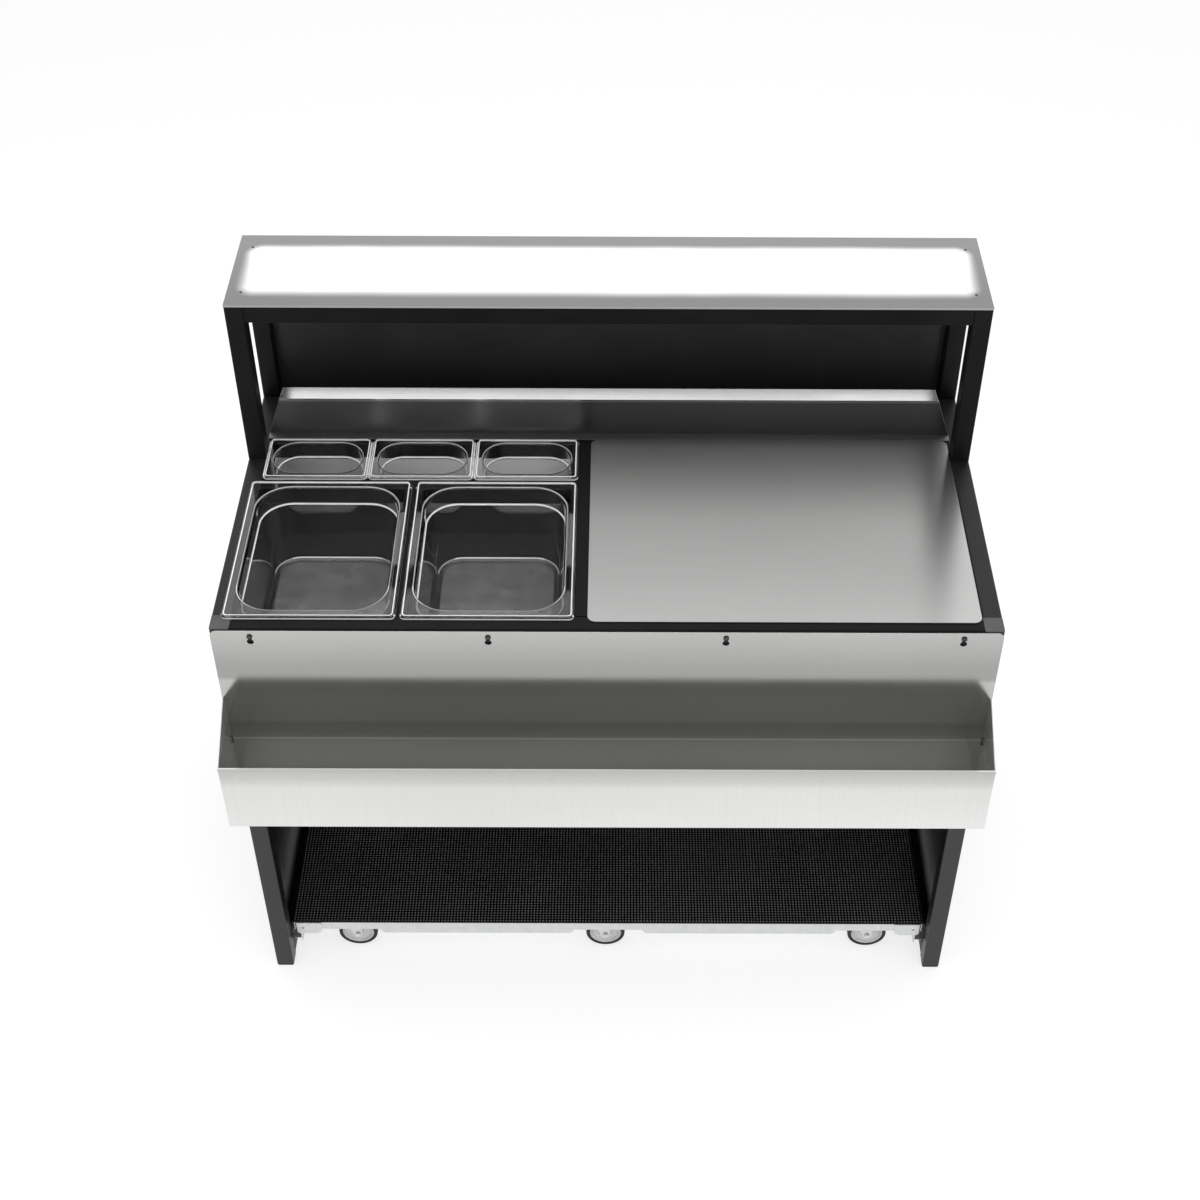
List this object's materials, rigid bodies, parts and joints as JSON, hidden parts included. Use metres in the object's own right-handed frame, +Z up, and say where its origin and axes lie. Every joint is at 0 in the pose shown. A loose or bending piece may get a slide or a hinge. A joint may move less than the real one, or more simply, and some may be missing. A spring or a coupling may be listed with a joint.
{
  "type": "portable bar counter",
  "caption": "Portable bar counter with lit raised top, lift-out clear pans, cover plate, hook-on bottle rail and castered base shelf.",
  "frame": {"origin": "centre of the footprint, on the floor under the feet", "axes": "+X along the counter (the longest side), +Y from the bartender's side to the guests' side, +Z up"},
  "size_m": [1.2, 0.7114, 1.153],
  "materials": {
    "black_coat": "satin black powder coat with a fine grain",
    "black_panel": "smooth semi-gloss black sheet",
    "black_plastic": "satin black moulded plastic",
    "foot_rubber": "matt black rubber",
    "dark_screw": "blackened steel screw",
    "brushed_steel": "brushed stainless steel with a fine grain along the counter",
    "zinc": "bright zinc-plated sheet steel",
    "white_coat": "white reflective coat",
    "opal_sheet": "opal light-diffusing plastic sheet, satin, lit from below",
    "light_strip": "white light strip",
    "mat_rubber": "black rubber mat with small moulded nibs",
    "clear_plastic": "clear moulded plastic, polished",
    "wheel_plastic": "light grey moulded wheel body",
    "tyre": "dark grey rubber tread"
  },
  "bodies": {
    "frame": {"front_legs": "black_coat", "rear_legs": "black_coat", "upper_side_rails": "black_coat", "lower_side_rails": "black_coat", "counter_front_rail": "black_coat", "counter_rear_rail": "black_coat", "lower_rear_rail": "black_coat", "gantry_posts": "black_coat", "gantry_front_rail": "black_coat", "gantry_rear_rail": "black_coat", "gantry_side_rails": "black_coat", "leg_caps": "black_plastic", "leg_feet": "foot_rubber", "side_panels": "black_panel", "upper_back_panel": "black_panel", "lower_back_panel": "black_panel", "panel_screws": "dark_screw", "inset_cross_bars": "black_coat", "inset_long_bars": "black_coat", "pan_well": "brushed_steel", "ice_well": "brushed_steel", "rear_deck": "black_coat", "splash_ledge": "brushed_steel", "light_panel": "opal_sheet", "light_tray": "white_coat", "light_strips": "light_strip", "light_panel_screws": "dark_screw", "rail_studs": "dark_screw", "shelf_edges": "zinc", "shelf_deck": "zinc", "shelf_mat": "mat_rubber", "shelf_brackets": "zinc", "shelf_bolts": "zinc", "caster_mounts": "zinc"},
    "speed_rail": {"speed_rail": "brushed_steel"},
    "cover_plate": {"cover_plate": "brushed_steel"},
    "large_pan_1": {"large_pan_1": "clear_plastic"},
    "large_pan_2": {"large_pan_2": "clear_plastic"},
    "small_pan_1": {"small_pan_1": "clear_plastic"},
    "small_pan_2": {"small_pan_2": "clear_plastic"},
    "small_pan_3": {"small_pan_3": "clear_plastic"},
    "caster_1": {"caster_fork_1": "zinc"},
    "wheel_1": {"caster_hub_1": "wheel_plastic", "caster_tyre_1": "tyre"},
    "caster_2": {"caster_fork_2": "zinc"},
    "wheel_2": {"caster_hub_2": "wheel_plastic", "caster_tyre_2": "tyre"},
    "caster_3": {"caster_fork_3": "zinc"},
    "wheel_3": {"caster_hub_3": "wheel_plastic", "caster_tyre_3": "tyre"},
    "caster_4": {"caster_fork_4": "zinc"},
    "wheel_4": {"caster_hub_4": "wheel_plastic", "caster_tyre_4": "tyre"},
    "caster_5": {"caster_fork_5": "zinc"},
    "wheel_5": {"caster_hub_5": "wheel_plastic", "caster_tyre_5": "tyre"},
    "caster_6": {"caster_fork_6": "zinc"},
    "wheel_6": {"caster_hub_6": "wheel_plastic", "caster_tyre_6": "tyre"}
  },
  "joints": [
    {"name": "speed_rail_lift", "type": "slide", "parent": "frame", "child": "speed_rail", "axis": [0, 0, 1], "range_m": [0, 0.011]},
    {"name": "cover_plate_lift", "type": "slide", "parent": "frame", "child": "cover_plate", "axis": [0, 0, 1], "range_m": [0, 0.1]},
    {"name": "large_pan_1_lift", "type": "slide", "parent": "frame", "child": "large_pan_1", "axis": [0, 0, 1], "range_m": [0, 0.165]},
    {"name": "large_pan_2_lift", "type": "slide", "parent": "frame", "child": "large_pan_2", "axis": [0, 0, 1], "range_m": [0, 0.165]},
    {"name": "small_pan_1_lift", "type": "slide", "parent": "frame", "child": "small_pan_1", "axis": [0, 0, 1], "range_m": [0, 0.115]},
    {"name": "small_pan_2_lift", "type": "slide", "parent": "frame", "child": "small_pan_2", "axis": [0, 0, 1], "range_m": [0, 0.115]},
    {"name": "small_pan_3_lift", "type": "slide", "parent": "frame", "child": "small_pan_3", "axis": [0, 0, 1], "range_m": [0, 0.115]},
    {"name": "caster_1_swivel", "type": "hinge", "parent": "frame", "child": "caster_1", "pos_m": [-0.463, -0.19425, 0.07], "axis": [0, 0, 1], "continuous": true},
    {"name": "wheel_1_spin", "type": "hinge", "parent": "caster_1", "child": "wheel_1", "pos_m": [-0.455, -0.19425, 0.0355], "axis": [0, 1, 0], "continuous": true},
    {"name": "caster_2_swivel", "type": "hinge", "parent": "frame", "child": "caster_2", "pos_m": [-0.013, -0.19425, 0.07], "axis": [0, 0, 1], "continuous": true},
    {"name": "wheel_2_spin", "type": "hinge", "parent": "caster_2", "child": "wheel_2", "pos_m": [-0.005, -0.19425, 0.0355], "axis": [0, 1, 0], "continuous": true},
    {"name": "caster_3_swivel", "type": "hinge", "parent": "frame", "child": "caster_3", "pos_m": [0.463, -0.19425, 0.07], "axis": [0, 0, 1], "continuous": true},
    {"name": "wheel_3_spin", "type": "hinge", "parent": "caster_3", "child": "wheel_3", "pos_m": [0.471, -0.19425, 0.0355], "axis": [0, 1, 0], "continuous": true},
    {"name": "caster_4_swivel", "type": "hinge", "parent": "frame", "child": "caster_4", "pos_m": [-0.463, 0.27575, 0.07], "axis": [0, 0, 1], "continuous": true},
    {"name": "wheel_4_spin", "type": "hinge", "parent": "caster_4", "child": "wheel_4", "pos_m": [-0.455, 0.27575, 0.0355], "axis": [0, 1, 0], "continuous": true},
    {"name": "caster_5_swivel", "type": "hinge", "parent": "frame", "child": "caster_5", "pos_m": [-0.013, 0.27575, 0.07], "axis": [0, 0, 1], "continuous": true},
    {"name": "wheel_5_spin", "type": "hinge", "parent": "caster_5", "child": "wheel_5", "pos_m": [-0.005, 0.27575, 0.0355], "axis": [0, 1, 0], "continuous": true},
    {"name": "caster_6_swivel", "type": "hinge", "parent": "frame", "child": "caster_6", "pos_m": [0.463, 0.27575, 0.07], "axis": [0, 0, 1], "continuous": true},
    {"name": "wheel_6_spin", "type": "hinge", "parent": "caster_6", "child": "wheel_6", "pos_m": [0.471, 0.27575, 0.0355], "axis": [0, 1, 0], "continuous": true}
  ]
}
